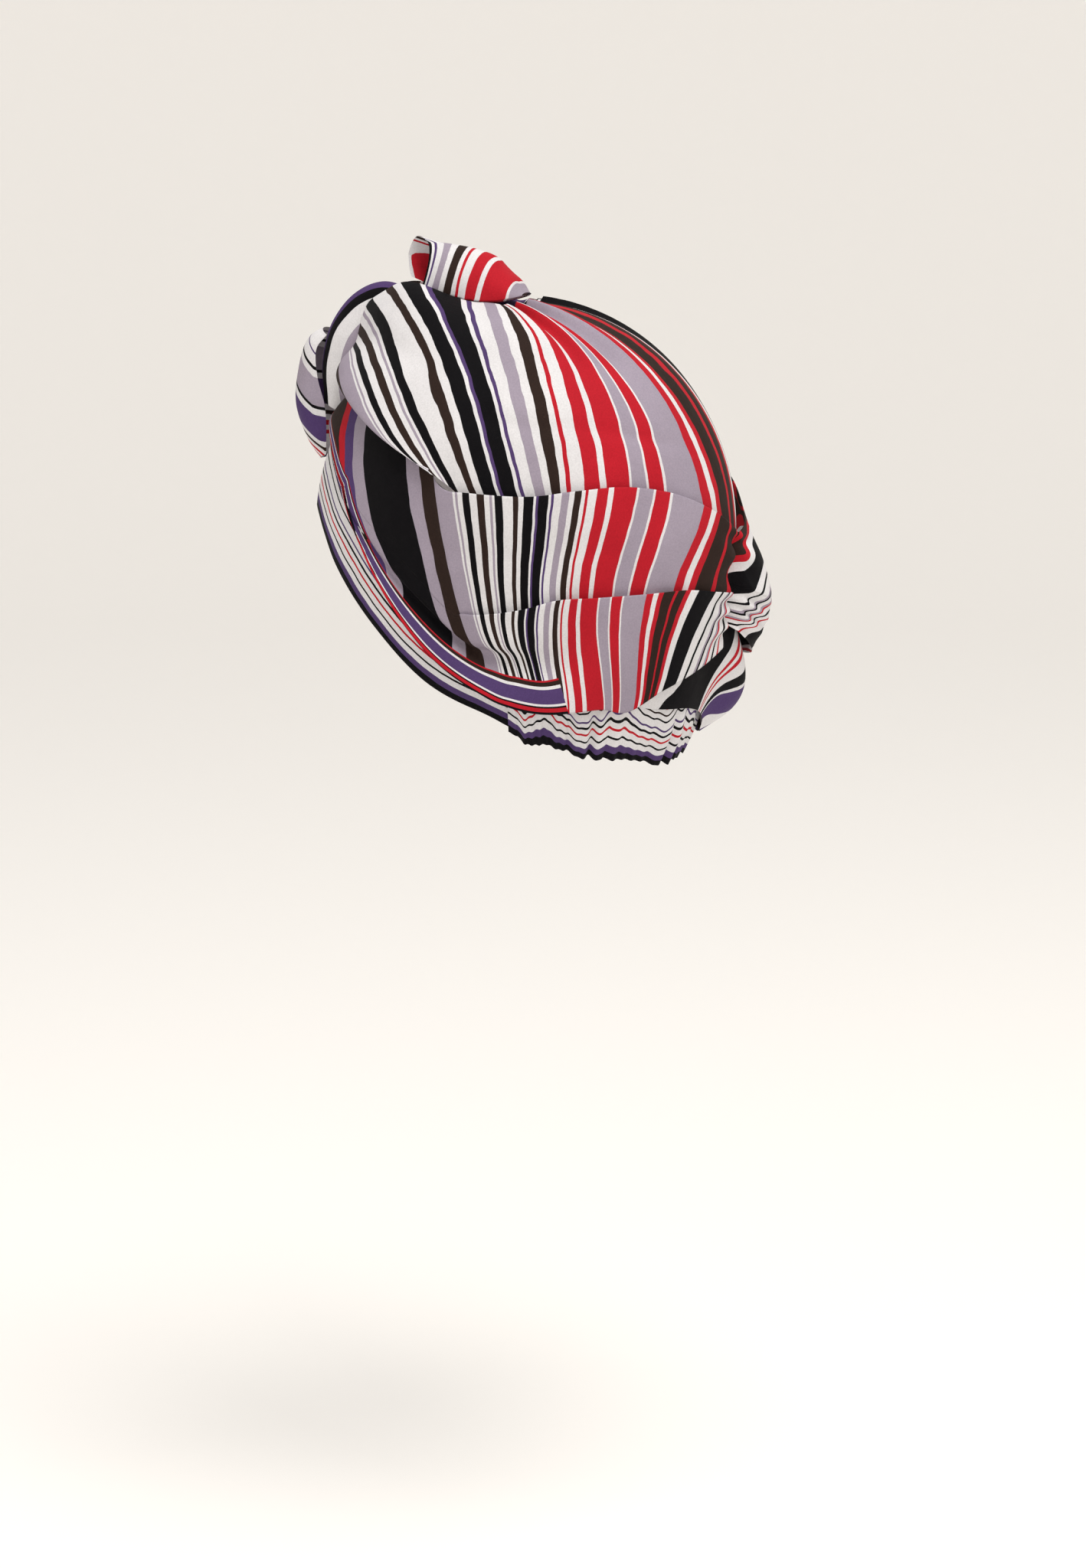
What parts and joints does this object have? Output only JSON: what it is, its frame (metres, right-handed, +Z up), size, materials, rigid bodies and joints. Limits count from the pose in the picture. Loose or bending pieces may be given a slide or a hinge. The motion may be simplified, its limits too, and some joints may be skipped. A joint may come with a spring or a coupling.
{
  "type": "turban headwrap",
  "caption": "Pre-tied turban headwrap of thin striped cloth, pleated round the head from a knot above the brow to a gathered back seam over an elasticated nape.",
  "frame": {"origin": "middle of the head hollow at the height of the brow band, where the wrap sits on a head", "axes": "+Z up along the head, -Y the way the face looks, +X the wearer's left"},
  "size_m": [0.167, 0.2262, 0.2347],
  "materials": {
    "crown_cloth": "matte woven stripes",
    "left_wrap": "matte woven stripes",
    "right_wrap": "matte woven stripes",
    "brow_band": "matte woven stripes",
    "nape_gather": "matte woven stripes",
    "back_panel": "matte woven stripes",
    "knot_band": "matte woven stripes",
    "top_end": "matte woven stripes",
    "front_end": "matte woven stripes"
  },
  "bodies": {
    "root": {"crown_cloth": "crown_cloth", "left_wrap": "left_wrap", "right_wrap": "right_wrap", "brow_band": "brow_band", "nape_gather": "nape_gather", "back_panel": "back_panel", "knot_band": "knot_band", "top_end": "top_end", "front_end": "front_end"}
  },
  "joints": []
}
